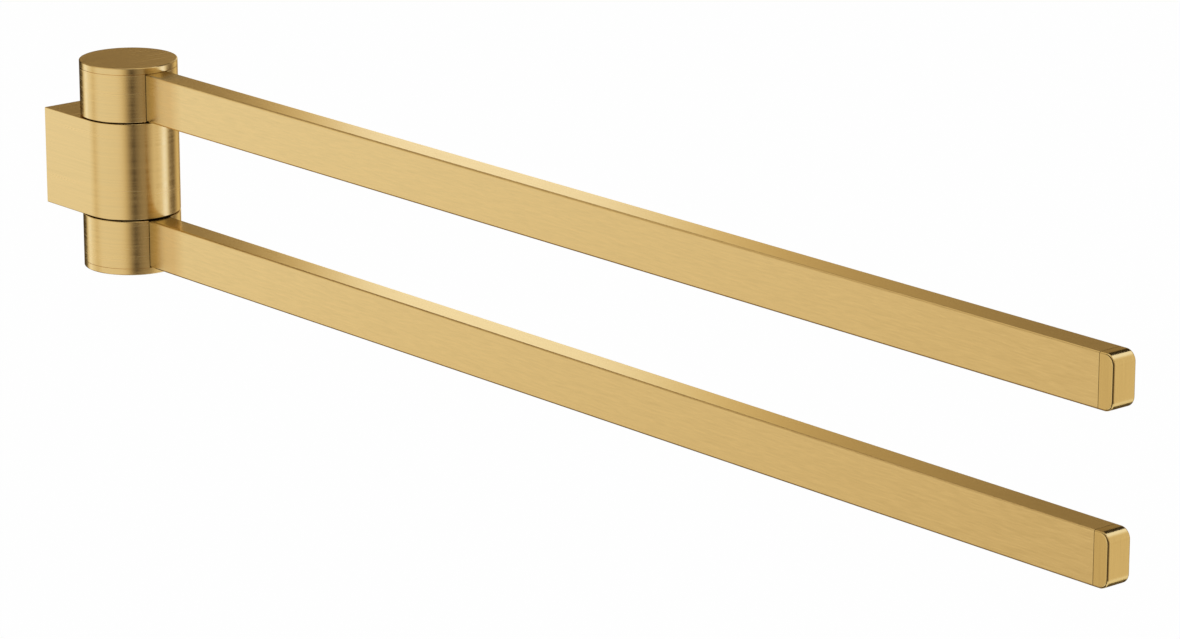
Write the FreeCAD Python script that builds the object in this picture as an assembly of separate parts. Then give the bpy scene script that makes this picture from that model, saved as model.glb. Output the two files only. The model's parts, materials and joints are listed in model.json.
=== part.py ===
import FreeCAD
import Part

import math
import os

from FreeCAD import Vector

# A wall-mounted towel bar with two flat bars, one above the other, that swivel on one upright axle.
# Millimetres. The wall is the plane y = 0, the bars stand out of it along -Y, and +Z is up.
# The origin is the centre of the face that meets the wall. The lower arm mirrors the upper one.

# Overall sizes
PROJECTION = 440.0
HUB_DIAMETER = 30.0
AXIS_FROM_WALL = 23.7
BLOCK_HEIGHT = 30.0
HUB_HEIGHT = 14.8
SWIVEL_GAP = 0.4
EDGE_RADIUS = 0.25

# Clearances: faces that turn on each other, pieces fitted together, screws in their threads.
# A cut runs out past its faces, and two places closer than the last length count as one.
RUNNING_CLEARANCE = 0.05
FIT_CLEARANCE = 0.05
THREAD_CLEARANCE = 0.05
CUT_OVERRUN = 1.0
SAME_PLACE = 0.005

# Bars, hollow, as tall as the hubs that hold them
BAR_THICKNESS = 8.0
BAR_WALL = 1.2
BAR_CORNER_RADIUS = 0.6
BAR_SEAM_CLEARANCE = 0.12

# End caps, with a plug inside the bar and a narrow shadow line at the seam
END_CAP_LENGTH = 5.0
END_CAP_CORNER_RADIUS = 3.0
END_PLUG_LENGTH = 12.0
END_PLUG_LEAD = 0.8
END_SEAM_WIDTH = 0.15
END_SEAM_DEPTH = 0.5

# Hub caps, pushed into the hubs and gripped by an O-ring
CAP_THICKNESS = 2.1
CAP_EDGE_RADIUS = 0.3
CAP_SEAM_WIDTH = 0.12
CAP_SEAM_DEPTH = 0.4
SPIGOT_WALL = 1.8
SPIGOT_DEPTH = 3.6
SPIGOT_ROOM = 1.0
O_RING_SECTION = 0.9
O_RING_FROM_CAP = 1.9
O_RING_GROOVE_ROOM = 0.1

# Axle, fixed in the block by a lock screw on a flat
AXLE_DIAMETER = 8.0
AXLE_FLAT_DEPTH = 0.4
AXLE_FLAT_HEIGHT = 6.0
AXLE_END_CHAMFER = 0.4
LOCK_SCREW_DIAMETER = 4.0
LOCK_SCREW_LENGTH = 8.0

# Bushes, disc springs, retaining washers and screws, stacked on the axle under each cap
BUSH_WALL = 1.2
BUSH_FLANGE_WIDTH = 1.8
BUSH_FLANGE_THICKNESS = 1.0
SPRING_HEIGHT = 1.0
SPRING_THICKNESS = 0.5
SPRING_BORE_ROOM = 0.3
RETAINER_OVERHANG = 0.4
RETAINER_THICKNESS = 1.2
RETAINER_BORE_ROOM = 0.15
SCREW_DIAMETER = 4.0
SCREW_LENGTH = 12.0
SCREW_HEAD_DIAMETER = 7.0
SCREW_HEAD_HEIGHT = 2.2
SCREW_HEAD_EDGE_RADIUS = 0.4
SCREW_SOCKET_FLATS = 2.5
SCREW_SOCKET_DEPTH = 1.3
TAP_RUNOUT = 1.0
HEAD_ROOM = 1.2

# Thrust washers, let into the block and standing proud of it by almost the swivel gap
WASHER_SETBACK = 3.0
WASHER_RECESS = 0.6
WASHER_ROOM = 0.1

# Joint between bar and hub: a tenon in a mortise, pinned from inside the hub
POCKET_WALL = 1.1
BORE_WALL = 1.3
TENON_SHOULDER = 0.3
TENON_COVER = 1.0
TENON_PLUG_LENGTH = 24.0
DOWEL_DIAMETER = 2.4
DOWEL_FLOOR = 0.5

# Wall bracket inside the block's walls, and the set screw that clamps the block to it from below
BLOCK_WALL = 3.6
BRACKET_DEPTH = 6.0
BRACKET_CORNER_RADIUS = 1.5
WALL_HOLE_DIAMETER = 4.5
COUNTERSINK_DIAMETER = 8.2
COUNTERSINK_MARGIN = 0.15
CAVITY_CLEARANCE = 0.15
CAVITY_FLOOR_GAP = 0.4
SET_SCREW_DIAMETER = 4.0
SET_SCREW_FROM_WALL = 3.4
SET_SCREW_SINK = 0.4
SET_SCREW_POINT_DIAMETER = 2.0
SET_SCREW_POINT_DEPTH = 1.0
GRUB_SOCKET_FLATS = 2.0
GRUB_SOCKET_DEPTH = 1.8

# Places on the swivel axis, counted up from the middle of the block
HUB_RADIUS = HUB_DIAMETER / 2
AXIS_Y = -AXIS_FROM_WALL
BLOCK_TOP = BLOCK_HEIGHT / 2
HUB_BOTTOM = BLOCK_TOP + SWIVEL_GAP
HUB_TOP = HUB_BOTTOM + HUB_HEIGHT
SPRUNG_HEIGHT = BUSH_FLANGE_THICKNESS + RUNNING_CLEARANCE + SPRING_HEIGHT
FASTENED_HEIGHT = RETAINER_THICKNESS + SCREW_HEAD_HEIGHT + HEAD_ROOM
RECESS_FLOOR = HUB_TOP - SPRUNG_HEIGHT - FASTENED_HEIGHT
FLANGE_TOP = RECESS_FLOOR + BUSH_FLANGE_THICKNESS
SPRING_BOTTOM = FLANGE_TOP + RUNNING_CLEARANCE
AXLE_TOP = SPRING_BOTTOM + SPRING_HEIGHT
RETAINER_TOP = AXLE_TOP + RETAINER_THICKNESS

# Radii that follow from the axle outwards
AXLE_RADIUS = AXLE_DIAMETER / 2
BUSH_RADIUS = AXLE_RADIUS + RUNNING_CLEARANCE + BUSH_WALL
BORE_RADIUS = BUSH_RADIUS + FIT_CLEARANCE
FLANGE_RADIUS = BUSH_RADIUS + BUSH_FLANGE_WIDTH
RETAINER_RADIUS = FLANGE_RADIUS + RETAINER_OVERHANG
SPIGOT_BORE_RADIUS = RETAINER_RADIUS + SPIGOT_ROOM
SPIGOT_RADIUS = SPIGOT_BORE_RADIUS + SPIGOT_WALL
RECESS_RADIUS = SPIGOT_RADIUS + FIT_CLEARANCE
POCKET_FLOOR_RADIUS = RECESS_RADIUS + POCKET_WALL
TENON_TIP_RADIUS = BORE_RADIUS + BORE_WALL
DOWEL_CENTRE_RADIUS = (TENON_TIP_RADIUS + POCKET_FLOOR_RADIUS) / 2
WASHER_RADIUS = HUB_RADIUS - WASHER_SETBACK

# Places along the bar
BAR_ROOT_Y = AXIS_Y - POCKET_FLOOR_RADIUS
BAR_SEAM_Y = END_CAP_LENGTH - PROJECTION
TIP_Y = -PROJECTION
BAR_HALF = BAR_THICKNESS / 2
BORE_HALF_WIDTH = BAR_HALF - BAR_WALL
PLUG_HALF_WIDTH = BORE_HALF_WIDTH - FIT_CLEARANCE
PLUG_BOTTOM = HUB_BOTTOM + BAR_WALL + FIT_CLEARANCE
PLUG_TOP = HUB_TOP - BAR_WALL - FIT_CLEARANCE

# Places in the block
CAVITY_HALF_WIDTH = HUB_RADIUS - BLOCK_WALL
CAVITY_HALF_HEIGHT = BLOCK_TOP - BLOCK_WALL
BRACKET_HALF_WIDTH = CAVITY_HALF_WIDTH - CAVITY_CLEARANCE
BRACKET_HALF_HEIGHT = CAVITY_HALF_HEIGHT - CAVITY_CLEARANCE
WALL_HOLE_HEIGHT = BRACKET_HALF_HEIGHT - COUNTERSINK_DIAMETER / 2 - COUNTERSINK_MARGIN
CAVITY_FLOOR_Y = -BRACKET_DEPTH - CAVITY_FLOOR_GAP
AXLE_FLAT_Y = AXIS_Y + AXLE_RADIUS - AXLE_FLAT_DEPTH

UP = Vector(0, 0, 1)
OUT_OF_WALL = Vector(0, -1, 0)
HEXAGON_SIDES = 6
FULL_TURN = 360

# Share of a radius that a quarter bend reaches, at its middle, along each of its two directions
BEND_SHARE = math.sqrt(0.5)


def box(x_low, x_high, y_low, y_high, z_low, z_high):
    """A block between two corners."""
    return Part.makeBox(x_high - x_low, y_high - y_low, z_high - z_low, Vector(x_low, y_low, z_low))


def upright(radius, z_low, z_high, y=AXIS_Y):
    """A round bar on an upright axis, on the swivel axis unless y says otherwise."""
    return Part.makeCylinder(radius, z_high - z_low, Vector(0, y, z_low), UP)


def ring(outer_radius, inner_radius, z_low, z_high):
    """A washer or sleeve on the swivel axis."""
    hole = upright(inner_radius, z_low - CUT_OVERRUN, z_high + CUT_OVERRUN)
    return upright(outer_radius, z_low, z_high).cut(hole)


def turned(outline):
    """A solid turned on the swivel axis from an outline of (radius, z) points."""
    points = [Vector(radius, AXIS_Y, z) for radius, z in outline]
    face = Part.Face(Part.makePolygon(points + points[:1]))
    return face.revolve(Vector(0, AXIS_Y, 0), UP, FULL_TURN)


def hexagon_socket(across_flats, depth, mouth, inwards):
    """A hexagonal cutter that starts outside the mouth and goes in by the depth."""
    corner_radius = across_flats / 2 / math.cos(math.pi / HEXAGON_SIDES)
    start = mouth - inwards * CUT_OVERRUN
    side = Vector(1, 0, 0)
    turn = FreeCAD.Rotation(inwards, FULL_TURN / HEXAGON_SIDES)
    corners = [start + side * corner_radius]
    for _ in range(HEXAGON_SIDES - 1):
        side = turn.multVec(side)
        corners.append(start + side * corner_radius)
    face = Part.Face(Part.makePolygon(corners + corners[:1]))
    return face.extrude(inwards * (depth + CUT_OVERRUN))


def rims(shape, z, radius):
    """The round edges of a shape at one height that have one radius about the swivel axis."""
    found = []
    for edge in shape.Edges:
        curve = edge.Curve
        if isinstance(curve, Part.Circle) and abs(curve.Center.z - z) < SAME_PLACE:
            if abs(curve.Radius - radius) < SAME_PLACE:
                found.append(edge)
    return found


def rounded_prism(half_width, z_low, z_high, radius, y_start, y_end):
    """A bar along Y with a rectangular section whose corners are rounded."""
    left, right = -half_width, half_width
    inset = radius - radius * BEND_SHARE
    z_in_low, z_in_high = z_low + radius, z_high - radius

    def at(x, z):
        return Vector(x, y_start, z)

    edges = [
        Part.LineSegment(at(left + radius, z_low), at(right - radius, z_low)),
        Part.Arc(at(right - radius, z_low), at(right - inset, z_low + inset), at(right, z_in_low)),
        Part.LineSegment(at(right, z_in_low), at(right, z_in_high)),
        Part.Arc(at(right, z_in_high), at(right - inset, z_high - inset), at(right - radius, z_high)),
        Part.LineSegment(at(right - radius, z_high), at(left + radius, z_high)),
        Part.Arc(at(left + radius, z_high), at(left + inset, z_high - inset), at(left, z_in_high)),
        Part.LineSegment(at(left, z_in_high), at(left, z_in_low)),
        Part.Arc(at(left, z_in_low), at(left + inset, z_low + inset), at(left + radius, z_low)),
    ]
    wire = Part.Wire([edge.toShape() for edge in edges])
    return Part.Face(wire).extrude(Vector(0, y_end - y_start, 0))


def wall_bracket():
    """The plate that is screwed to the wall, with two countersunk holes one above the other."""
    bracket = rounded_prism(
        BRACKET_HALF_WIDTH,
        -BRACKET_HALF_HEIGHT,
        BRACKET_HALF_HEIGHT,
        BRACKET_CORNER_RADIUS,
        0,
        -BRACKET_DEPTH,
    )
    hole_radius = WALL_HOLE_DIAMETER / 2
    sink_radius = COUNTERSINK_DIAMETER / 2
    sink_depth = sink_radius - hole_radius
    for side in (-1, 1):
        z = side * WALL_HOLE_HEIGHT
        start = Vector(0, CUT_OVERRUN, z)
        bracket = bracket.cut(
            Part.makeCylinder(hole_radius, BRACKET_DEPTH + 2 * CUT_OVERRUN, start, OUT_OF_WALL)
        )
        sink_start = Vector(0, sink_depth - BRACKET_DEPTH, z)
        sink = Part.makeCone(hole_radius, sink_radius, sink_depth, sink_start, OUT_OF_WALL)
        bracket = bracket.cut(sink)
    dimple_base = Vector(0, -SET_SCREW_FROM_WALL, -BRACKET_HALF_HEIGHT)
    dimple = Part.makeCone(
        SET_SCREW_POINT_DIAMETER / 2 + THREAD_CLEARANCE,
        0,
        SET_SCREW_POINT_DEPTH + THREAD_CLEARANCE,
        dimple_base,
        UP,
    )
    return bracket.cut(dimple)


def holder_block():
    """The block that hides the bracket: flat sides, a round nose, a cavity behind."""
    start = Vector(-HUB_RADIUS, 0, -BLOCK_TOP)
    left_tangent = Vector(-HUB_RADIUS, AXIS_Y, -BLOCK_TOP)
    nose = Vector(0, AXIS_Y - HUB_RADIUS, -BLOCK_TOP)
    right_tangent = Vector(HUB_RADIUS, AXIS_Y, -BLOCK_TOP)
    end = Vector(HUB_RADIUS, 0, -BLOCK_TOP)
    outline = [
        Part.LineSegment(start, left_tangent),
        Part.Arc(left_tangent, nose, right_tangent),
        Part.LineSegment(right_tangent, end),
        Part.LineSegment(end, start),
    ]
    wire = Part.Wire([edge.toShape() for edge in outline])
    block = Part.Face(wire).extrude(Vector(0, 0, BLOCK_HEIGHT))

    def on_outline(edge):
        box_of_edge = edge.BoundBox
        flat = box_of_edge.ZLength < EDGE_RADIUS
        return flat and box_of_edge.YLength > EDGE_RADIUS

    block = block.makeFillet(EDGE_RADIUS, [edge for edge in block.Edges if on_outline(edge)])
    cavity = rounded_prism(
        CAVITY_HALF_WIDTH,
        -CAVITY_HALF_HEIGHT,
        CAVITY_HALF_HEIGHT,
        BRACKET_CORNER_RADIUS,
        CUT_OVERRUN,
        CAVITY_FLOOR_Y,
    )
    axle_bore = upright(AXLE_RADIUS + FIT_CLEARANCE, -BLOCK_TOP - CUT_OVERRUN, BLOCK_TOP + CUT_OVERRUN)
    recess_radius = WASHER_RADIUS + WASHER_ROOM
    recess_floor = BLOCK_TOP - WASHER_RECESS
    top_recess = upright(recess_radius, recess_floor, BLOCK_TOP + CUT_OVERRUN)
    bottom_recess = upright(recess_radius, -BLOCK_TOP - CUT_OVERRUN, -recess_floor)
    lock_hole = Part.makeCylinder(
        LOCK_SCREW_DIAMETER / 2,
        CAVITY_FLOOR_Y + CUT_OVERRUN - AXIS_Y,
        Vector(0, CAVITY_FLOOR_Y + CUT_OVERRUN, 0),
        OUT_OF_WALL,
    )
    set_hole = upright(
        SET_SCREW_DIAMETER / 2, -BLOCK_TOP - CUT_OVERRUN, -BRACKET_HALF_HEIGHT, -SET_SCREW_FROM_WALL
    )
    for cutter in (cavity, axle_bore, top_recess, bottom_recess, lock_hole, set_hole):
        block = block.cut(cutter)
    return block


def block_set_screw():
    """The grub screw under the block, whose point seats in the bracket."""
    radius = SET_SCREW_DIAMETER / 2 - THREAD_CLEARANCE
    bottom = -BLOCK_TOP + SET_SCREW_SINK
    shoulder = -BRACKET_HALF_HEIGHT - FIT_CLEARANCE
    shank = upright(radius, bottom, shoulder, -SET_SCREW_FROM_WALL)
    point_base = Vector(0, -SET_SCREW_FROM_WALL, shoulder)
    point = Part.makeCone(SET_SCREW_POINT_DIAMETER / 2, 0, SET_SCREW_POINT_DEPTH, point_base, UP)
    mouth = Vector(0, -SET_SCREW_FROM_WALL, bottom)
    socket = hexagon_socket(GRUB_SOCKET_FLATS, GRUB_SOCKET_DEPTH, mouth, UP)
    return shank.fuse(point).removeSplitter().cut(socket)


def pivot_axle():
    """The fixed upright axle, tapped at both ends, with a flat for the lock screw."""
    axle = upright(AXLE_RADIUS, -AXLE_TOP, AXLE_TOP)
    end_rims = rims(axle, AXLE_TOP, AXLE_RADIUS) + rims(axle, -AXLE_TOP, AXLE_RADIUS)
    axle = axle.makeChamfer(AXLE_END_CHAMFER, end_rims)
    tap_depth = SCREW_LENGTH - RETAINER_THICKNESS + TAP_RUNOUT
    tap_top = upright(SCREW_DIAMETER / 2, AXLE_TOP - tap_depth, AXLE_TOP + CUT_OVERRUN)
    tap_bottom = upright(SCREW_DIAMETER / 2, -AXLE_TOP - CUT_OVERRUN, tap_depth - AXLE_TOP)
    half_flat = AXLE_FLAT_HEIGHT / 2
    flat = box(-AXLE_RADIUS, AXLE_RADIUS, AXLE_FLAT_Y, AXIS_Y + AXLE_DIAMETER, -half_flat, half_flat)
    return axle.cut(tap_top).cut(tap_bottom).cut(flat)


def axle_lock_screw():
    """The grub screw that holds the axle, driven from the cavity behind the block."""
    radius = LOCK_SCREW_DIAMETER / 2 - THREAD_CLEARANCE
    mouth = Vector(0, AXLE_FLAT_Y + LOCK_SCREW_LENGTH, 0)
    screw = Part.makeCylinder(radius, LOCK_SCREW_LENGTH, mouth, OUT_OF_WALL)
    return screw.cut(hexagon_socket(GRUB_SOCKET_FLATS, GRUB_SOCKET_DEPTH, mouth, OUT_OF_WALL))


def thrust_washer():
    """The plastic washer that carries the hub and keeps it off the block."""
    bottom = BLOCK_TOP - WASHER_RECESS
    return ring(WASHER_RADIUS, AXLE_RADIUS + WASHER_ROOM, bottom, HUB_BOTTOM - RUNNING_CLEARANCE)


def hub():
    """The turning hub: bored for its bush, recessed under the cap, mortised for the bar."""
    body = upright(HUB_RADIUS, HUB_BOTTOM, HUB_TOP)
    body = body.makeFillet(EDGE_RADIUS, rims(body, HUB_BOTTOM, HUB_RADIUS))
    bore = upright(BORE_RADIUS, HUB_BOTTOM - CUT_OVERRUN, HUB_TOP)
    recess = upright(RECESS_RADIUS, RECESS_FLOOR, HUB_TOP + CUT_OVERRUN)
    pocket_half = BAR_HALF + BAR_SEAM_CLEARANCE
    pocket_end_y = AXIS_Y - HUB_RADIUS - CUT_OVERRUN
    pocket = box(
        -pocket_half, pocket_half, pocket_end_y, BAR_ROOT_Y, HUB_BOTTOM - CUT_OVERRUN, HUB_TOP + CUT_OVERRUN
    )
    mortise_half = tenon_half_width() + FIT_CLEARANCE
    tenon_bottom, tenon_top = tenon_heights()
    mortise = box(
        -mortise_half,
        mortise_half,
        BAR_ROOT_Y - CUT_OVERRUN,
        AXIS_Y - TENON_TIP_RADIUS + FIT_CLEARANCE,
        tenon_bottom - FIT_CLEARANCE,
        tenon_top + FIT_CLEARANCE,
    )
    dowel_hole = upright(
        DOWEL_DIAMETER / 2 + FIT_CLEARANCE,
        HUB_BOTTOM + DOWEL_FLOOR - FIT_CLEARANCE,
        RECESS_FLOOR + CUT_OVERRUN,
        AXIS_Y - DOWEL_CENTRE_RADIUS,
    )
    for cutter in (bore, recess, pocket, mortise, dowel_hole):
        body = body.cut(cutter)
    return body


def bush():
    """The flanged bearing bush in the hub."""
    inner_radius = AXLE_RADIUS + RUNNING_CLEARANCE
    outline = [
        (inner_radius, HUB_BOTTOM),
        (BUSH_RADIUS, HUB_BOTTOM),
        (BUSH_RADIUS, RECESS_FLOOR),
        (FLANGE_RADIUS, RECESS_FLOOR),
        (FLANGE_RADIUS, FLANGE_TOP),
        (inner_radius, FLANGE_TOP),
    ]
    return turned(outline)


def disc_spring():
    """The coned spring washer that gives the swivel its drag."""
    inner_radius = AXLE_RADIUS + SPRING_BORE_ROOM
    outline = [
        (FLANGE_RADIUS, SPRING_BOTTOM),
        (FLANGE_RADIUS, SPRING_BOTTOM + SPRING_THICKNESS),
        (inner_radius, AXLE_TOP),
        (inner_radius, AXLE_TOP - SPRING_THICKNESS),
    ]
    return turned(outline)


def retaining_washer():
    """The washer clamped on the end of the axle."""
    return ring(RETAINER_RADIUS, SCREW_DIAMETER / 2 + RETAINER_BORE_ROOM, AXLE_TOP, RETAINER_TOP)


def retaining_screw():
    """The screw in the end of the axle."""
    head_top = RETAINER_TOP + SCREW_HEAD_HEIGHT
    head = upright(SCREW_HEAD_DIAMETER / 2, RETAINER_TOP, head_top)
    head = head.makeFillet(SCREW_HEAD_EDGE_RADIUS, rims(head, head_top, SCREW_HEAD_DIAMETER / 2))
    shank = upright(SCREW_DIAMETER / 2 - THREAD_CLEARANCE, RETAINER_TOP - SCREW_LENGTH, RETAINER_TOP)
    mouth = Vector(0, AXIS_Y, head_top)
    socket = hexagon_socket(SCREW_SOCKET_FLATS, SCREW_SOCKET_DEPTH, mouth, -UP)
    return head.fuse(shank).removeSplitter().cut(socket)


def hub_cap():
    """The round cover on the hub, with a grooved spigot and a shadow line at the seam."""
    top = HUB_TOP + CAP_THICKNESS
    land_radius = HUB_RADIUS - CAP_SEAM_DEPTH
    groove_radius = RECESS_RADIUS - O_RING_SECTION - O_RING_GROOVE_ROOM
    groove_half = O_RING_SECTION / 2 + O_RING_GROOVE_ROOM
    groove_z = HUB_TOP - O_RING_FROM_CAP
    outline = [
        (0, HUB_TOP),
        (SPIGOT_BORE_RADIUS, HUB_TOP),
        (SPIGOT_BORE_RADIUS, HUB_TOP - SPIGOT_DEPTH),
        (SPIGOT_RADIUS, HUB_TOP - SPIGOT_DEPTH),
        (SPIGOT_RADIUS, groove_z - groove_half),
        (groove_radius, groove_z - groove_half),
        (groove_radius, groove_z + groove_half),
        (SPIGOT_RADIUS, groove_z + groove_half),
        (SPIGOT_RADIUS, HUB_TOP),
        (land_radius, HUB_TOP),
        (land_radius, HUB_TOP + CAP_SEAM_WIDTH),
        (HUB_RADIUS, HUB_TOP + CAP_SEAM_WIDTH),
        (HUB_RADIUS, top),
        (0, top),
    ]
    cap = turned(outline)
    return cap.makeFillet(CAP_EDGE_RADIUS, rims(cap, top, HUB_RADIUS))


def cap_o_ring():
    """The rubber ring between the cap's spigot and the hub."""
    section_radius = O_RING_SECTION / 2
    centre = Vector(0, AXIS_Y, HUB_TOP - O_RING_FROM_CAP)
    ring_radius = RECESS_RADIUS - section_radius - O_RING_GROOVE_ROOM / 2
    return Part.makeTorus(ring_radius, section_radius, centre, UP)


def bar():
    """The flat hollow bar that the towel hangs on."""
    outside = rounded_prism(BAR_HALF, HUB_BOTTOM, HUB_TOP, BAR_CORNER_RADIUS, BAR_ROOT_Y, BAR_SEAM_Y)
    inside = box(
        -BORE_HALF_WIDTH,
        BORE_HALF_WIDTH,
        BAR_SEAM_Y - CUT_OVERRUN,
        BAR_ROOT_Y + CUT_OVERRUN,
        HUB_BOTTOM + BAR_WALL,
        HUB_TOP - BAR_WALL,
    )
    return outside.cut(inside)


def tenon_half_width():
    """Half the thickness of the tenon."""
    return PLUG_HALF_WIDTH - TENON_SHOULDER


def tenon_heights():
    """The bottom and the top of the tenon, inside the hub's solid web."""
    return HUB_BOTTOM + BAR_WALL + TENON_COVER, RECESS_FLOOR - TENON_COVER


def bar_tenon():
    """The solid plug in the root of the bar, whose tenon goes into the hub."""
    plug = box(
        -PLUG_HALF_WIDTH, PLUG_HALF_WIDTH, BAR_ROOT_Y - TENON_PLUG_LENGTH, BAR_ROOT_Y, PLUG_BOTTOM, PLUG_TOP
    )
    half_width = tenon_half_width()
    bottom, top = tenon_heights()
    tenon = box(-half_width, half_width, BAR_ROOT_Y, AXIS_Y - TENON_TIP_RADIUS, bottom, top)
    dowel_hole = upright(
        DOWEL_DIAMETER / 2 + FIT_CLEARANCE, HUB_BOTTOM, HUB_TOP, AXIS_Y - DOWEL_CENTRE_RADIUS
    )
    return plug.fuse(tenon).cut(dowel_hole)


def dowel_pin():
    """The upright pin that locks the tenon in the hub."""
    return upright(DOWEL_DIAMETER / 2, HUB_BOTTOM + DOWEL_FLOOR, RECESS_FLOOR, AXIS_Y - DOWEL_CENTRE_RADIUS)


def end_cap():
    """The cover on the tip of the bar: rounded corners, softened edges, a plug inside the bar."""
    face_y = BAR_SEAM_Y - END_SEAM_WIDTH
    radius = END_CAP_CORNER_RADIUS
    inset = radius - radius * BEND_SHARE
    bend_y = TIP_Y + radius
    mid_y = TIP_Y + inset
    low, high = HUB_BOTTOM, HUB_TOP

    def at(y, z):
        return Vector(-BAR_HALF, y, z)

    profile = [
        Part.LineSegment(at(face_y, low), at(bend_y, low)),
        Part.Arc(at(bend_y, low), at(mid_y, low + inset), at(TIP_Y, low + radius)),
        Part.LineSegment(at(TIP_Y, low + radius), at(TIP_Y, high - radius)),
        Part.Arc(at(TIP_Y, high - radius), at(mid_y, high - inset), at(bend_y, high)),
        Part.LineSegment(at(bend_y, high), at(face_y, high)),
        Part.LineSegment(at(face_y, high), at(face_y, low)),
    ]
    wire = Part.Wire([edge.toShape() for edge in profile])
    body = Part.Face(wire).extrude(Vector(BAR_THICKNESS, 0, 0))

    def on_side_outline(edge):
        box_of_edge = edge.BoundBox
        at_seam = box_of_edge.YMin > face_y - END_SEAM_WIDTH
        return box_of_edge.XLength < END_SEAM_WIDTH and not at_seam

    body = body.makeFillet(BAR_CORNER_RADIUS, [edge for edge in body.Edges if on_side_outline(edge)])
    land_half = BAR_HALF - END_SEAM_DEPTH
    land = box(
        -land_half, land_half, face_y, BAR_SEAM_Y, HUB_BOTTOM + END_SEAM_DEPTH, HUB_TOP - END_SEAM_DEPTH
    )
    plug_end_y = BAR_SEAM_Y + END_PLUG_LENGTH
    plug = box(-PLUG_HALF_WIDTH, PLUG_HALF_WIDTH, BAR_SEAM_Y, plug_end_y, PLUG_BOTTOM, PLUG_TOP)
    lead = [edge for edge in plug.Edges if edge.BoundBox.YMin > plug_end_y - END_PLUG_LEAD]
    plug = plug.makeChamfer(END_PLUG_LEAD, lead)
    return body.fuse(land).fuse(plug)


def lower(shape):
    """The same piece on the lower arm."""
    return shape.mirror(Vector(0, 0, 0), UP)


def main():
    pieces = {
        "wall_bracket": wall_bracket(),
        "holder_block": holder_block(),
        "block_set_screw": block_set_screw(),
        "pivot_axle": pivot_axle(),
        "axle_lock_screw": axle_lock_screw(),
    }
    paired = {
        "thrust_washer": thrust_washer(),
        "hub": hub(),
        "bush": bush(),
        "disc_spring": disc_spring(),
        "retaining_washer": retaining_washer(),
        "retaining_screw": retaining_screw(),
        "hub_cap": hub_cap(),
        "cap_o_ring": cap_o_ring(),
        "bar": bar(),
        "bar_tenon": bar_tenon(),
        "dowel_pin": dowel_pin(),
        "end_cap": end_cap(),
    }
    for name, shape in paired.items():
        pieces["upper_" + name] = shape
        pieces["lower_" + name] = lower(shape)
    os.makedirs("parts", exist_ok=True)
    for name, shape in pieces.items():
        shape.exportStep(os.path.join("parts", name + ".step"))


main()
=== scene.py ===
import json
import math

import bpy
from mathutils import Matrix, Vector


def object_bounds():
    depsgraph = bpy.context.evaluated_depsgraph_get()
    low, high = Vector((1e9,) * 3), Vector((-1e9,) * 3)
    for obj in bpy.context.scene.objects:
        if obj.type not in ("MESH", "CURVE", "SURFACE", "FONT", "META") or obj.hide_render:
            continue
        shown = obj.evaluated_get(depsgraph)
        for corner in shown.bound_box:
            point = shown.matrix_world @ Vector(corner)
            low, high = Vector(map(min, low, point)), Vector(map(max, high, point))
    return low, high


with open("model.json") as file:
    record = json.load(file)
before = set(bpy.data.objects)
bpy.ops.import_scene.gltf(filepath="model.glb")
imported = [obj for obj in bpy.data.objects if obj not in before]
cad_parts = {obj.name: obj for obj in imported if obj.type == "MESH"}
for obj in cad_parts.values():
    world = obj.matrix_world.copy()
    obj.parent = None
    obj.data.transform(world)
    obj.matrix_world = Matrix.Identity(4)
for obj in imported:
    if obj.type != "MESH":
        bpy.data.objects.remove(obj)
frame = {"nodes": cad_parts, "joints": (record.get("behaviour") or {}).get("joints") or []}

cad_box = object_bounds()
nodes = frame["nodes"]
scene = bpy.context.scene

# Lengths are metres, in the part's own frame, and colours are linear. An azimuth is in degrees from
# straight out of the wall, positive to the right of someone who faces it.

# Camera, fitted to the edges of the object in the photograph
IMAGE_WIDTH = 1180
FOCAL_PIXELS = 4933.0
SENSOR_WIDTH = 36.0
CAMERA_PLACE = Vector((-0.84883, -1.22999, 0.36357))
CAMERA_YAW = 0.70873
CAMERA_PITCH = 0.27487
CAMERA_CLIP_END = 200.0

# Places on the object: the axis that both arms turn on, the tips of the bars, and their roots
PIVOT = Vector(frame["joints"][0]["pos_m"])
TIP = Vector((PIVOT.x, cad_box[0].y, PIVOT.z))
ROOT_Y = -0.0382

# Colours of the materials. The edge colour is what the gold mirrors at a grazing angle.
GOLD = (0.755, 0.56, 0.25)
# The end caps' gold is a darker copy of the gold: painted shade
SHADED_TIP_GOLD = (0.70, 0.505, 0.199)
GOLD_EDGE = (0.97, 0.84, 0.57)
ZINC = (0.52, 0.53, 0.54)
STEEL = (0.56, 0.56, 0.57)
ACETAL = (0.018, 0.018, 0.02)
RUBBER = (0.012, 0.012, 0.012)

# Brushed lines, as features per metre along X, Y and Z: few along a line and many across it.
# Broad streaks run the same way, at a share of that scale, and make up a share of the grain.
ACROSS_HUB = (30.0, 30.0, 1450.0)
ACROSS_CAP = (35.0, 1900.0, 35.0)
ACROSS_BAR = (2400.0, 190.0, 2400.0)
ACROSS_TIP = (2200.0, 2200.0, 60.0)
STREAK_SCALE_SHARE = 0.4
STREAK_SHARE = 0.3
STREAK_SHIFT = (7.0, 3.0, 5.0)
FLAT_LINE_SHIFT = (2.0, 9.0, 4.0)

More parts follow.
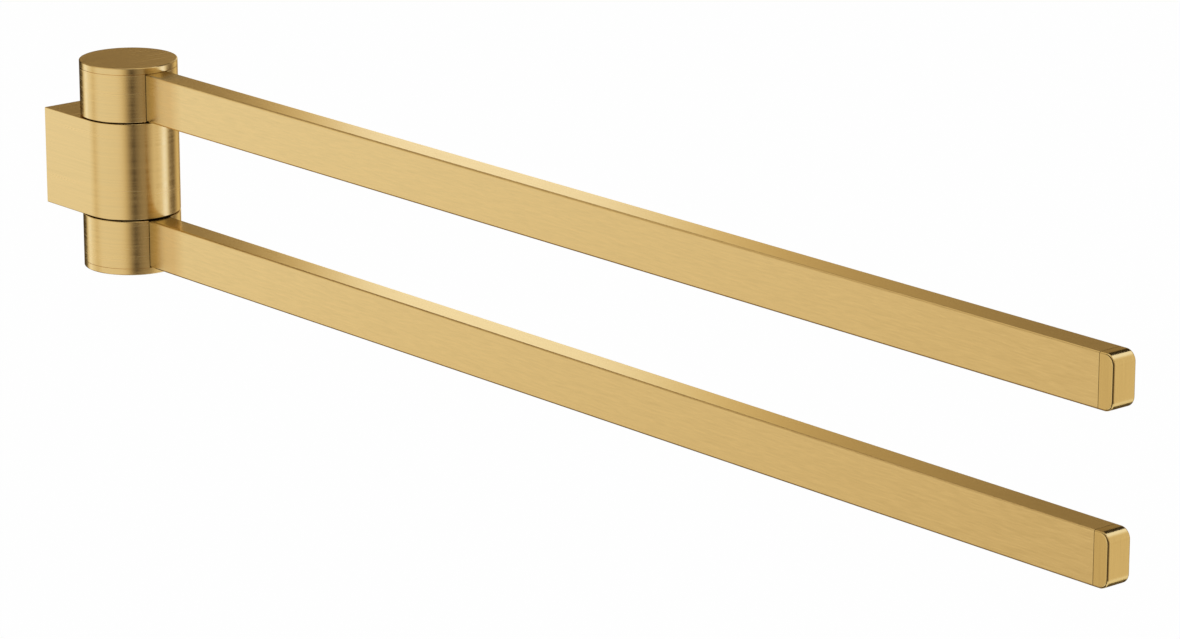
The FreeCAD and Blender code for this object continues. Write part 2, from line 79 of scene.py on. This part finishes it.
# Tool marks on steel and zinc, the grain of plastic and rubber, and clouds, in features per metre
STEEL_MARKS = (120.0, 120.0, 3000.0)
ZINC_MARKS = (900.0, 900.0, 900.0)
STEEL_CLOUDS = (150.0, 150.0, 150.0)
ZINC_CLOUDS = (120.0, 120.0, 120.0)
POLYMER_CLOUDS = (180.0, 180.0, 180.0)
ACETAL_GRAIN = (5000.0, 5000.0, 5000.0)
RUBBER_GRAIN = (3500.0, 3500.0, 3500.0)
CLOUD_SHIFT = (3.0, 1.0, 8.0)
CLOUD_SHARE = 0.5
METAL_SHADE_SHARES = (0.88, 1.1)
POLYMER_SHADE_SHARES = (0.8, 1.3)
METAL_ROUGHNESS_SPREAD = 0.07
POLYMER_ROUGHNESS_SPREAD = 0.06

# Noise between these two values is stretched to a full range
NOISE_ROUGHNESS = 0.6
NOISE_LOW = 0.3
NOISE_HIGH = 0.7

# How far a face's normal points up or down: upright faces stay under the first, flat ones pass the other
UPRIGHT_SHARE = 0.6
FLAT_SHARE = 0.95

# Painted shade next to the hubs, where the hubs shade and hide the bars: the colour of the bars is
# multiplied by
# # these shares, at places from the root, 0, to the end of the shaded length, 1.
ROOT_SHADE_LENGTH = 0.018
UPRIGHT_ROOT_SHADE_SHARES = [
    (0.00, (0.55, 0.62, 0.92)),
    (0.24, (0.76, 0.79, 0.88)),
    (0.42, (0.87, 0.82, 0.76)),
    (0.67, (0.89, 0.81, 0.72)),
    (1.00, (1.00, 1.00, 1.00)),
]
# On the tops of the bars: painted shade at the root, then a painted cooler tint further out
FLAT_ROOT_SHADE_SHARES = [
    (0.00, (0.50, 0.60, 0.95)),
    (0.42, (0.78, 0.88, 1.15)),
    (0.62, (1.00, 1.04, 1.20)),
    (0.78, (1.00, 1.00, 1.00)),
]

# The green and blue of light of some brightness, as shares of its red: white at 1, browner where it
# is dimmer and cooler where it is brighter.
LIGHT_COLOURS = [
    (0.00, (0.77, 0.63)),
    (0.25, (0.81, 0.63)),
    (0.50, (0.85, 0.63)),
    (0.75, (0.875, 0.67)),
    (0.88, (0.92, 0.785)),
    (0.96, (0.955, 0.905)),
    (1.00, (1.00, 1.00)),
    (1.20, (1.09, 1.42)),
    (1.50, (1.16, 1.70)),
]

# The surround, a round wall that only reflections show
SURROUND_RADIUS = 5.0
SURROUND_HIGH = 2.2
SURROUND_STEPS = 180

# Its brightness at some azimuths: bright panels with dark gaps, one of them straight behind
PANELS = [
    (-175.0, 0.04),
    (-167.0, 0.90),
    (-161.0, 1.18),
    (-153.0, 1.22),
    (-147.0, 1.02),
    (-140.0, 1.00),
    (-135.0, 0.95),
    (-128.0, 0.79),
    (-121.0, 0.94),
    (-112.0, 1.00),
    (-64.0, 0.98),
    (-53.0, 0.91),
    (-45.0, 0.69),
    (-37.0, 0.32),
    (-28.0, 0.07),
    (-21.0, 0.25),
    (-11.0, 0.38),
    (6.0, 0.45),
    (16.0, 0.74),
    (25.0, 0.98),
    (43.0, 1.16),
    (52.0, 1.28),
    (60.0, 1.06),
    (67.0, 0.30),
    (83.0, 0.17),
    (103.0, 0.85),
    (114.0, 0.80),
    (124.0, 0.34),
    (140.0, 0.80),
    (147.0, 0.80),
    (156.0, 0.06),
]

# From here on a list of levels pairs a place along a card, from 0 to 1, with a brightness there.
# The surround's run from the floor to the ceiling.
SURROUND_LEVELS = [(0.08, 0.70), (0.33, 1.00), (0.40, 1.03), (0.55, 0.88)]

# The ceiling's run to the right and to the back from the pivot, in shares of its radius. The patch's
# are shares of darkness, and the panel's run outwards in metres.
CEILING_SIDE_LEVELS = [(0.02, 1.0), (0.18, 0.78), (0.30, 0.72), (0.37, 0.30), (0.48, 0.80)]
CEILING_BACK_LEVELS = [(0.34, 0.80), (0.43, 0.72), (0.50, 0.45), (0.60, 0.30), (0.74, 0.60)]
PATCH_SIDE_SHARES = [(0.30, 0.0), (0.42, 1.0)]
PATCH_BACK_SHARES = [(0.42, 0.96), (0.56, 0.0)]
CEILING_PANEL_LEVELS = [(0.7, 1.0), (0.99, 0.0)]

# Back card, mirrored by the tops of the bars
BACK_CARD_FOOT = [(0.5, -0.5), (0.5, 1.3)]
BACK_CARD_LOW = 0.0
BACK_CARD_HIGH = 0.33
BACK_CARD_LEVELS = [
    (0.31, 0.33),
    (0.385, 0.60),
    (0.465, 1.23),
    (0.553, 1.26),
    (0.61, 0.37),
    (0.66, 0.25),
]

# Front flag, just beside the tips
FRONT_FLAG_X = -0.007
FRONT_FLAG_FOOT = [(FRONT_FLAG_X, TIP.y + 0.0006), (FRONT_FLAG_X, TIP.y - 0.0038)]
FRONT_FLAG_LOW = -0.035
FRONT_FLAG_HIGH = 0.033
FRONT_FLAG_LEVELS = [(0.0, 0.12), (0.5, 0.05), (0.98, 0.15)]

# Low card, below and behind the object
LOW_CARD_FOOT_Z = -1.65
LOW_CARD_TOP = [
    (-1.6, 0.8, -1.2),
    (-0.61, 0.8, -0.54),
    (-0.25, 0.8, -0.5),
    (1.4, 0.8, -0.95),
    (1.4, -0.75, -0.95),
]
LOW_CARD_LEVELS = [(0.0, 0.42), (0.25, 0.36), (0.5, 0.12), (1.0, 0.08)]

# Flags for the rounded corners of the end caps: one on the left, one flat below
CORNER_FLAG_FOOT = [(-0.32, 0.0, 0.45), (-0.32, -0.36, 0.2), (-0.32, -0.5, 0.1), (-0.32, -1.1, 0.1)]
CORNER_FLAG_HIGH = 0.8
UNDER_FLAG_X = (-0.6, 0.22)
UNDER_FLAG_Y = (-0.62, 0.1)
UNDER_FLAG_Z = -0.75
CORNER_FLAG_LEVELS = [(0.0, 0.08), (1.0, 0.08)]

# Panels that curve round the tips, between two azimuths and two elevations
TIP_PANEL_DISTANCE = 1.2
TIP_PANEL_STEPS = 8
HIGH_PANEL_AZIMUTHS = (40.0, 96.0)
HIGH_PANEL_ELEVATIONS = (-4.0, 56.0)
HIGH_PANEL_UPWARD = [(0.52, 0.88), (0.64, 0.95), (0.76, 1.24)]
END_PANEL_AZIMUTHS = (34.0, 60.0)
END_PANEL_ELEVATIONS = (-52.0, -4.0)
END_PANEL_ALONG = [(0.0, 0.72), (0.5, 0.87), (1.0, 1.0)]
END_PANEL_UPWARD = [(0.35, 1.15), (0.6, 1.0)]

# Floor, background and lamps. The floor is mostly plain white to the camera, and the rest is shaded.
FLOOR_Z = -3.0
FLOOR_SIZE = 60.0
FLOOR_COLOUR = (0.95, 0.95, 0.95)
FLOOR_ROUGHNESS = 0.9
FLOOR_WHITE_SHARE = 0.985
WHITE = (1.0, 1.0, 1.0)
SOFT_LIGHT_STRENGTH = 0.55
LAMP_TARGET = Vector((0.0, -0.2, 0.0))
KEY_PLACE = Vector((-1.2, -1.0, 2.4))
KEY_SIZE = 2.0
KEY_POWER = 45.0
FILL_PLACE = Vector((1.6, -1.4, 1.6))
FILL_SIZE = 1.6
FILL_POWER = 18.0


def opaque(colour):
    """A colour with its alpha."""
    return (*colour, 1.0)


def scaled(values, share):
    """A colour or a scale, times a share."""
    return tuple(value * share for value in values)


def combine(tree, operation, first, second):
    """A number worked out from two others."""
    node = tree.nodes.new("ShaderNodeMath")
    node.operation = operation
    for socket, value in zip(node.inputs, (first, second)):
        if isinstance(value, float):
            socket.default_value = value
        else:
            tree.links.new(value, socket)
    return node.outputs["Value"]


def blend_values(tree, factor, first, second):
    """A number between two others."""
    node = tree.nodes.new("ShaderNodeMix")
    node.data_type = "FLOAT"
    if isinstance(factor, float):
        node.inputs["Factor"].default_value = factor
    else:
        tree.links.new(factor, node.inputs["Factor"])
    tree.links.new(first, node.inputs["A"])
    tree.links.new(second, node.inputs["B"])
    return node.outputs["Result"]


def colour_ramp(tree, coordinate, stops):
    """A colour along a coordinate, from places between 0 and 1 and their colours."""
    ramp = tree.nodes.new("ShaderNodeValToRGB")
    tree.links.new(coordinate, ramp.inputs["Fac"])
    elements = ramp.color_ramp.elements
    elements.remove(elements[-1])
    first_place, first_colour = stops[0]
    elements[0].position = first_place
    elements[0].color = opaque(first_colour)
    for place, colour in stops[1:]:
        elements.new(place).color = opaque(colour)
    return ramp.outputs["Color"]


def separated(tree, vector):
    """The X, Y and Z of a vector."""
    parts = tree.nodes.new("ShaderNodeSeparateXYZ")
    tree.links.new(vector, parts.inputs["Vector"])
    return parts.outputs["X"], parts.outputs["Y"], parts.outputs["Z"]


def new_material(name):
    """A material with one shader and its output."""
    material = bpy.data.materials.new(name)
    material.use_nodes = True
    tree = material.node_tree
    tree.nodes.clear()
    output = tree.nodes.new("ShaderNodeOutputMaterial")
    shader = tree.nodes.new("ShaderNodeBsdfPrincipled")
    tree.links.new(shader.outputs["BSDF"], output.inputs["Surface"])
    return material, tree, shader


def object_coordinates(tree):
    """Places on an object, in metres."""
    return tree.nodes.new("ShaderNodeTexCoord").outputs["Object"]


def noise(tree, coordinates, scale, detail, shift=(0.0, 0.0, 0.0)):
    """Noise with a scale along each axis, in features per metre."""
    mapping = tree.nodes.new("ShaderNodeMapping")
    mapping.inputs["Scale"].default_value = scale
    mapping.inputs["Location"].default_value = shift
    texture = tree.nodes.new("ShaderNodeTexNoise")
    texture.inputs["Scale"].default_value = 1.0
    texture.inputs["Detail"].default_value = detail
    texture.inputs["Roughness"].default_value = NOISE_ROUGHNESS
    tree.links.new(coordinates, mapping.inputs["Vector"])
    tree.links.new(mapping.outputs["Vector"], texture.inputs["Vector"])
    return texture.outputs["Fac"]


def spread(tree, value, low, high):
    """Takes the middle of a noise value to a range."""
    node = tree.nodes.new("ShaderNodeMapRange")
    node.inputs["From Min"].default_value = NOISE_LOW
    node.inputs["From Max"].default_value = NOISE_HIGH
    node.inputs["To Min"].default_value = low
    node.inputs["To Max"].default_value = high
    tree.links.new(value, node.inputs["Value"])
    return node.outputs["Result"]


def shaded(tree, grain, colour, shares):
    """A colour that follows a grain, between two shares of itself."""
    low, high = shares
    node = tree.nodes.new("ShaderNodeMix")
    node.data_type = "RGBA"
    node.inputs["A"].default_value = opaque(scaled(colour, low))
    node.inputs["B"].default_value = opaque(scaled(colour, high))
    tree.links.new(spread(tree, grain, 0.0, 1.0), node.inputs["Factor"])
    return node.outputs["Result"]


def add_bump(tree, shader, height, strength, distance):
    """Fine relief from a noise, as deep as the distance."""
    bump = tree.nodes.new("ShaderNodeBump")
    bump.inputs["Strength"].default_value = strength
    bump.inputs["Distance"].default_value = distance
    tree.links.new(height, bump.inputs["Height"])
    tree.links.new(bump.outputs["Normal"], shader.inputs["Normal"])


def flatness(tree):
    """Is 1 on faces that look up or down and 0 on upright ones."""
    geometry = tree.nodes.new("ShaderNodeNewGeometry")
    size = tree.nodes.new("ShaderNodeMath")
    size.operation = "ABSOLUTE"
    tree.links.new(separated(tree, geometry.outputs["Normal"])[2], size.inputs[0])
    step = tree.nodes.new("ShaderNodeMapRange")
    step.interpolation_type = "SMOOTHSTEP"
    step.inputs["From Min"].default_value = UPRIGHT_SHARE
    step.inputs["From Max"].default_value = FLAT_SHARE
    tree.links.new(size.outputs["Value"], step.inputs["Value"])
    return step.outputs["Result"]


def with_painted_root_shade(tree, coordinates, colour, shares, factor):
    """The colour, multiplied by the shares next to the hub: painted shade."""
    root_shade_place = tree.nodes.new("ShaderNodeMapRange")
    root_shade_place.inputs["From Min"].default_value = ROOT_Y
    root_shade_place.inputs["From Max"].default_value = ROOT_Y - ROOT_SHADE_LENGTH
    tree.links.new(separated(tree, coordinates)[1], root_shade_place.inputs["Value"])
    node = tree.nodes.new("ShaderNodeMix")
    node.data_type = "RGBA"
    node.blend_type = "MULTIPLY"
    tree.links.new(factor, node.inputs["Factor"])
    tree.links.new(colour, node.inputs["A"])
    tree.links.new(colour_ramp(tree, root_shade_place.outputs["Result"], shares), node.inputs["B"])
    return node.outputs["Result"]


def brushed_gold(name, gold, across, contrast, rough, across_flat=None, paint_root_shade=False):
    """Brushed gold, with fine lines and broad streaks. Flat faces may have lines of their own, and bars
    painted shade next to the hub.
    """
    material, tree, shader = new_material(name)
    coordinates = object_coordinates(tree)
    lines = noise(tree, coordinates, across, detail=3.0)
    broad = scaled(across, STREAK_SCALE_SHARE)
    streaks = noise(tree, coordinates, broad, detail=2.0, shift=STREAK_SHIFT)
    if across_flat:
        flat_lines = noise(tree, coordinates, across_flat, detail=3.0, shift=FLAT_LINE_SHIFT)
        lines = blend_values(tree, flatness(tree), lines, flat_lines)
    grain = blend_values(tree, STREAK_SHARE, lines, streaks)
    colour = shaded(tree, grain, gold, (1.0 - contrast, 1.0 + contrast))
    # Painted shade next to the hub, on upright faces and on flat ones
    if paint_root_shade:
        flat = flatness(tree)
        upright = combine(tree, "SUBTRACT", 1.0, flat)
        colour = with_painted_root_shade(tree, coordinates, colour, UPRIGHT_ROOT_SHADE_SHARES, upright)
        colour = with_painted_root_shade(tree, coordinates, colour, FLAT_ROOT_SHADE_SHARES, flat)
    tree.links.new(colour, shader.inputs["Base Color"])
    tree.links.new(spread(tree, grain, *rough), shader.inputs["Roughness"])
    add_bump(tree, shader, lines, strength=0.15, distance=0.00004)
    shader.inputs["Specular Tint"].default_value = opaque(GOLD_EDGE)
    shader.inputs["Metallic"].default_value = 1.0
    return material


def plain_metal(name, colour, marks_scale, clouds_scale, rough):
    """Grey metal with tool marks and a cloudy finish."""
    material, tree, shader = new_material(name)
    coordinates = object_coordinates(tree)
    marks = noise(tree, coordinates, marks_scale, detail=3.0)
    clouds = noise(tree, coordinates, clouds_scale, detail=4.0, shift=CLOUD_SHIFT)
    grain = blend_values(tree, CLOUD_SHARE, marks, clouds)
    shade = shaded(tree, grain, colour, METAL_SHADE_SHARES)
    roughness = spread(tree, grain, rough - METAL_ROUGHNESS_SPREAD, rough + METAL_ROUGHNESS_SPREAD)
    tree.links.new(shade, shader.inputs["Base Color"])
    tree.links.new(roughness, shader.inputs["Roughness"])
    add_bump(tree, shader, marks, strength=0.2, distance=0.00005)
    shader.inputs["Metallic"].default_value = 1.0
    return material


def dull_polymer(name, colour, grain_scale, rough):
    """Black plastic or rubber with a fine moulded grain."""
    material, tree, shader = new_material(name)
    coordinates = object_coordinates(tree)
    grain = noise(tree, coordinates, grain_scale, detail=2.0)
    clouds = noise(tree, coordinates, POLYMER_CLOUDS, detail=3.0)
    shade = shaded(tree, clouds, colour, POLYMER_SHADE_SHARES)
    rough_low = rough - POLYMER_ROUGHNESS_SPREAD
    rough_high = rough + POLYMER_ROUGHNESS_SPREAD
    tree.links.new(shade, shader.inputs["Base Color"])
    tree.links.new(spread(tree, clouds, rough_low, rough_high), shader.inputs["Roughness"])
    add_bump(tree, shader, grain, strength=0.3, distance=0.00003)
    return material


def dress_nodes():
    """Gives every piece its material. What isn't listed is steel."""
    turned_gold = brushed_gold(
        "gold_turned", GOLD, ACROSS_HUB, contrast=0.08, rough=(0.14, 0.30), across_flat=ACROSS_CAP
    )
    # The bars' gold has painted shade next to the hubs
    drawn_gold = brushed_gold(
        "gold_drawn", GOLD, ACROSS_BAR, contrast=0.07, rough=(0.17, 0.26), paint_root_shade=True
    )
    # The end caps take the darker gold, painted shade
    tip_gold = brushed_gold("gold_tip", SHADED_TIP_GOLD, ACROSS_TIP, contrast=0.05, rough=(0.14, 0.21))
    zinc = plain_metal("bracket_zinc", ZINC, ZINC_MARKS, ZINC_CLOUDS, rough=0.42)
    steel = plain_metal("turned_steel", STEEL, STEEL_MARKS, STEEL_CLOUDS, rough=0.3)
    acetal = dull_polymer("black_acetal", ACETAL, ACETAL_GRAIN, rough=0.45)
    rubber = dull_polymer("black_rubber", RUBBER, RUBBER_GRAIN, rough=0.65)
    finishes = {
        "holder_block": turned_gold,
        "hub": turned_gold,
        "hub_cap": turned_gold,
        "bar": drawn_gold,
        "end_cap": tip_gold,
        "wall_bracket": zinc,
        "thrust_washer": acetal,
        "bush": acetal,
        "cap_o_ring": rubber,
    }
    for name, node in nodes.items():
        base = name.removeprefix("upper_").removeprefix("lower_")
        node.data.materials.clear()
        node.data.materials.append(finishes.get(base, steel))


def mesh_object(name, points, faces):
    """A new mesh in the scene."""
    mesh = bpy.data.meshes.new(name)
    mesh.from_pydata(points, [], faces)
    made = bpy.data.objects.new(name, mesh)
    scene.collection.objects.link(made)
    return made


def show_in_reflections_only(card):
    """Hides a card from all rays but glossy ones."""
    card.visible_camera = False
    card.visible_diffuse = False
    card.visible_transmission = False
    card.visible_volume_scatter = False
    card.visible_shadow = False


def card_mesh(name, lower, upper):
    """A card between two rows of points, with u along the rows and v from the lower to the upper."""
    count = len(lower)
    faces = [(i, i + 1, count + i + 1, count + i) for i in range(count - 1)]
    card = mesh_object(name, lower + upper, faces)
    layer = card.data.uv_layers.new(name="card")
    for loop in card.data.loops:
        index = loop.vertex_index
        layer.data[loop.index].uv = ((index % count) / (count - 1), index // count)
    show_in_reflections_only(card)
    return card


def upright_card(name, foot, low, high):
    """A card that stands on a line of X and Y places, between two heights."""
    return card_mesh(name, [(x, y, low) for x, y in foot], [(x, y, high) for x, y in foot])


def emitter(name):
    """A material that only gives light."""
    material = bpy.data.materials.new(name)
    material.use_nodes = True
    tree = material.node_tree
    tree.nodes.clear()
    output = tree.nodes.new("ShaderNodeOutputMaterial")
    glow = tree.nodes.new("ShaderNodeEmission")
    tree.links.new(glow.outputs["Emission"], output.inputs["Surface"])
    return material, tree, glow


def level_ramp(tree, coordinate, levels):
    """Brightness along a coordinate."""
    return colour_ramp(tree, coordinate, [(place, (level,) * 3) for place, level in levels])


def glow_by_level(tree, glow, level):
    """Gives a card its brightness, and the colour that goes with it."""
    brightest = LIGHT_COLOURS[-1][0]
    stops = [
        (place / brightest, (place, place * green, place * blue))
        for place, (green, blue) in LIGHT_COLOURS
    ]
    colour = colour_ramp(tree, combine(tree, "DIVIDE", level, brightest), stops)
    tree.links.new(colour, glow.inputs["Color"])


def light_along(card, along=None, upward=None):
    """Lights a card by levels along it, up it or both."""
    material, tree, glow = emitter(card.name + "_light")
    u, v, _ = separated(tree, tree.nodes.new("ShaderNodeTexCoord").outputs["UV"])
    ramps = [level_ramp(tree, place, levels) for place, levels in ((u, along), (v, upward)) if levels]
    level = combine(tree, "MULTIPLY", ramps[0], ramps[1] if len(ramps) > 1 else 1.0)
    glow_by_level(tree, glow, level)
    card.data.materials.append(material)


def on_circle(centre, radius, azimuth):
    """The X and Y of a place at an azimuth, in radians, round a centre."""
    return centre.x + radius * math.sin(azimuth), centre.y - radius * math.cos(azimuth)


def build_surround():
    """A round wall with soft bright panels, which the metal mirrors."""
    angles = [math.radians(-180.0 + 360.0 * i / SURROUND_STEPS) for i in range(SURROUND_STEPS + 1)]
    foot = [on_circle(PIVOT, SURROUND_RADIUS, angle) for angle in angles]
    card = upright_card("surround", foot, FLOOR_Z, SURROUND_HIGH)
    along = [((azimuth + 180.0) / 360.0, level) for azimuth, level in PANELS]
    light_along(card, along, SURROUND_LEVELS)


def build_back_card():
    """A dark card behind the object with one bright strip, which the tops of the bars mirror."""
    card = upright_card("back_card", BACK_CARD_FOOT, BACK_CARD_LOW, BACK_CARD_HIGH)
    light_along(card, BACK_CARD_LEVELS)


def build_front_flag():
    """A small dark flag, which draws the dark line down the upright edges of the tips."""
    card = upright_card("front_flag", FRONT_FLAG_FOOT, FRONT_FLAG_LOW, FRONT_FLAG_HIGH)
    light_along(card, FRONT_FLAG_LEVELS)


def build_low_card():
    """A dark card low behind the object, which its lower edges mirror."""
    foot = [(x, y, LOW_CARD_FOOT_Z) for x, y, _ in LOW_CARD_TOP]
    light_along(card_mesh("low_card", foot, LOW_CARD_TOP), LOW_CARD_LEVELS)


def build_corner_flags():
    """Two dark flags, which the rounded corners of the end caps mirror."""
    top = [(x, y, CORNER_FLAG_HIGH) for x, y, _ in CORNER_FLAG_FOOT]
    left, right = [[(x, y, UNDER_FLAG_Z) for y in UNDER_FLAG_Y] for x in UNDER_FLAG_X]
    corner = card_mesh("corner_flag", CORNER_FLAG_FOOT, top)
    under = card_mesh("under_flag", left, right)
    for card in (corner, under):
        light_along(card, CORNER_FLAG_LEVELS)


def build_tip_panel(name, azimuths, elevations, along=None, upward=None):
    """A panel that curves round the tips of the bars."""
    first, last = map(math.radians, azimuths)
    rows = []
    for elevation in map(math.radians, elevations):
        reach = TIP_PANEL_DISTANCE * math.cos(elevation)
        height = TIP.z + TIP_PANEL_DISTANCE * math.sin(elevation)
        angles = [first + (last - first) * i / TIP_PANEL_STEPS for i in range(TIP_PANEL_STEPS + 1)]
        rows.append([(*on_circle(TIP, reach, angle), height) for angle in angles])
    light_along(card_mesh(name, *rows), along, upward)


def build_ceiling():
    """A soft panel over the object, in a ceiling that is dimmer to the back and on the right."""
    angles = [math.tau * i / SURROUND_STEPS for i in range(SURROUND_STEPS)]
    rim = [(SURROUND_RADIUS * math.cos(a), SURROUND_RADIUS * math.sin(a), 0.0) for a in angles]
    card = mesh_object("ceiling", rim, [tuple(range(SURROUND_STEPS))])
    card.location = (PIVOT.x, PIVOT.y, SURROUND_HIGH)
    show_in_reflections_only(card)
    material, tree, glow = emitter("ceiling_light")
    place = object_coordinates(tree)
    x, y, _ = separated(tree, place)
    reach = tree.nodes.new("ShaderNodeVectorMath")
    reach.operation = "LENGTH"
    tree.links.new(place, reach.inputs[0])
    width, depth = [combine(tree, "DIVIDE", axis, SURROUND_RADIUS) for axis in (x, y)]
    sideways = level_ramp(tree, width, CEILING_SIDE_LEVELS)
    backward = level_ramp(tree, depth, CEILING_BACK_LEVELS)
    plain = combine(tree, "MULTIPLY", sideways, backward)
    right = level_ramp(tree, width, PATCH_SIDE_SHARES)
    near = level_ramp(tree, depth, PATCH_BACK_SHARES)
    patch = combine(tree, "MULTIPLY", right, near)
    plain = combine(tree, "MULTIPLY", plain, combine(tree, "SUBTRACT", 1.0, patch))
    over = level_ramp(tree, reach.outputs["Value"], CEILING_PANEL_LEVELS)
    glow_by_level(tree, glow, combine(tree, "MAXIMUM", plain, over))
    card.data.materials.append(material)


def seen_directly(tree, share):
    """A share for rays from the camera, from mirrors and through glass, and 0 for the rest."""
    path = tree.nodes.new("ShaderNodeLightPath").outputs
    seen = combine(tree, "MAXIMUM", path["Is Camera Ray"], path["Is Glossy Ray"])
    seen = combine(tree, "MAXIMUM", seen, path["Is Transmission Ray"])
    return combine(tree, "MULTIPLY", seen, share)


def mix_shaders(tree, factor, first, second, output):
    """Sends a mix of two shaders to the output."""
    mix = tree.nodes.new("ShaderNodeMixShader")
    tree.links.new(factor, mix.inputs["Fac"])
    tree.links.new(first, mix.inputs[1])
    tree.links.new(second, mix.inputs[2])
    tree.links.new(mix.outputs["Shader"], output.inputs["Surface"])


def build_floor():
    """A plain pale floor far below, which keeps the object's shadow."""
    half = FLOOR_SIZE / 2
    corners = [(x, y, FLOOR_Z) for x, y in ((-half, -half), (half, -half), (half, half), (-half, half))]
    floor = mesh_object("floor", corners, [(0, 1, 2, 3)])
    material, tree, shader = new_material("floor_white")
    shader.inputs["Base Color"].default_value = opaque(FLOOR_COLOUR)
    shader.inputs["Roughness"].default_value = FLOOR_ROUGHNESS
    shader.inputs["Specular IOR Level"].default_value = 0.0
    white = tree.nodes.new("ShaderNodeEmission")
    output = next(node for node in tree.nodes if node.type == "OUTPUT_MATERIAL")
    share = seen_directly(tree, FLOOR_WHITE_SHARE)
    mix_shaders(tree, share, shader.outputs["BSDF"], white.outputs["Emission"], output)
    floor.data.materials.append(material)


def build_world():
    """A white background that lights the object softly."""
    world = bpy.data.worlds.new("studio")
    scene.world = world
    world.use_nodes = True
    tree = world.node_tree
    tree.nodes.clear()
    output = tree.nodes.new("ShaderNodeOutputWorld")
    soft = tree.nodes.new("ShaderNodeBackground")
    soft.inputs["Strength"].default_value = SOFT_LIGHT_STRENGTH
    white = tree.nodes.new("ShaderNodeBackground")
    for background in (soft, white):
        background.inputs["Color"].default_value = opaque(WHITE)
    share = seen_directly(tree, 1.0)
    mix_shaders(tree, share, soft.outputs["Background"], white.outputs["Background"], output)


def build_lamp(name, place, size, power):
    """A soft lamp that faces the middle of the bars."""
    data = bpy.data.lights.new(name, "AREA")
    data.shape = "SQUARE"
    data.size = size
    data.energy = power
    lamp = bpy.data.objects.new(name, data)
    scene.collection.objects.link(lamp)
    lamp.location = place
    lamp.rotation_euler = (LAMP_TARGET - lamp.location).to_track_quat("-Z", "Y").to_euler()
    lamp.visible_glossy = False


def build_camera():
    """The photograph's camera."""
    data = bpy.data.cameras.new("camera")
    data.sensor_width = SENSOR_WIDTH
    data.lens = FOCAL_PIXELS / IMAGE_WIDTH * SENSOR_WIDTH
    data.clip_end = CAMERA_CLIP_END
    camera = bpy.data.objects.new("camera", data)
    scene.collection.objects.link(camera)
    camera.location = CAMERA_PLACE
    camera.rotation_euler = (math.pi / 2 - CAMERA_PITCH, 0.0, -CAMERA_YAW)
    scene.camera = camera


dress_nodes()
build_surround()
build_back_card()
build_front_flag()
build_low_card()
build_corner_flags()
build_tip_panel("high_panel", HIGH_PANEL_AZIMUTHS, HIGH_PANEL_ELEVATIONS, None, HIGH_PANEL_UPWARD)
build_tip_panel("end_panel", END_PANEL_AZIMUTHS, END_PANEL_ELEVATIONS, END_PANEL_ALONG, END_PANEL_UPWARD)
build_ceiling()
build_floor()
build_world()
build_lamp("key", KEY_PLACE, KEY_SIZE, KEY_POWER)
build_lamp("fill", FILL_PLACE, FILL_SIZE, FILL_POWER)
build_camera()
scene.view_settings.view_transform = "Standard"
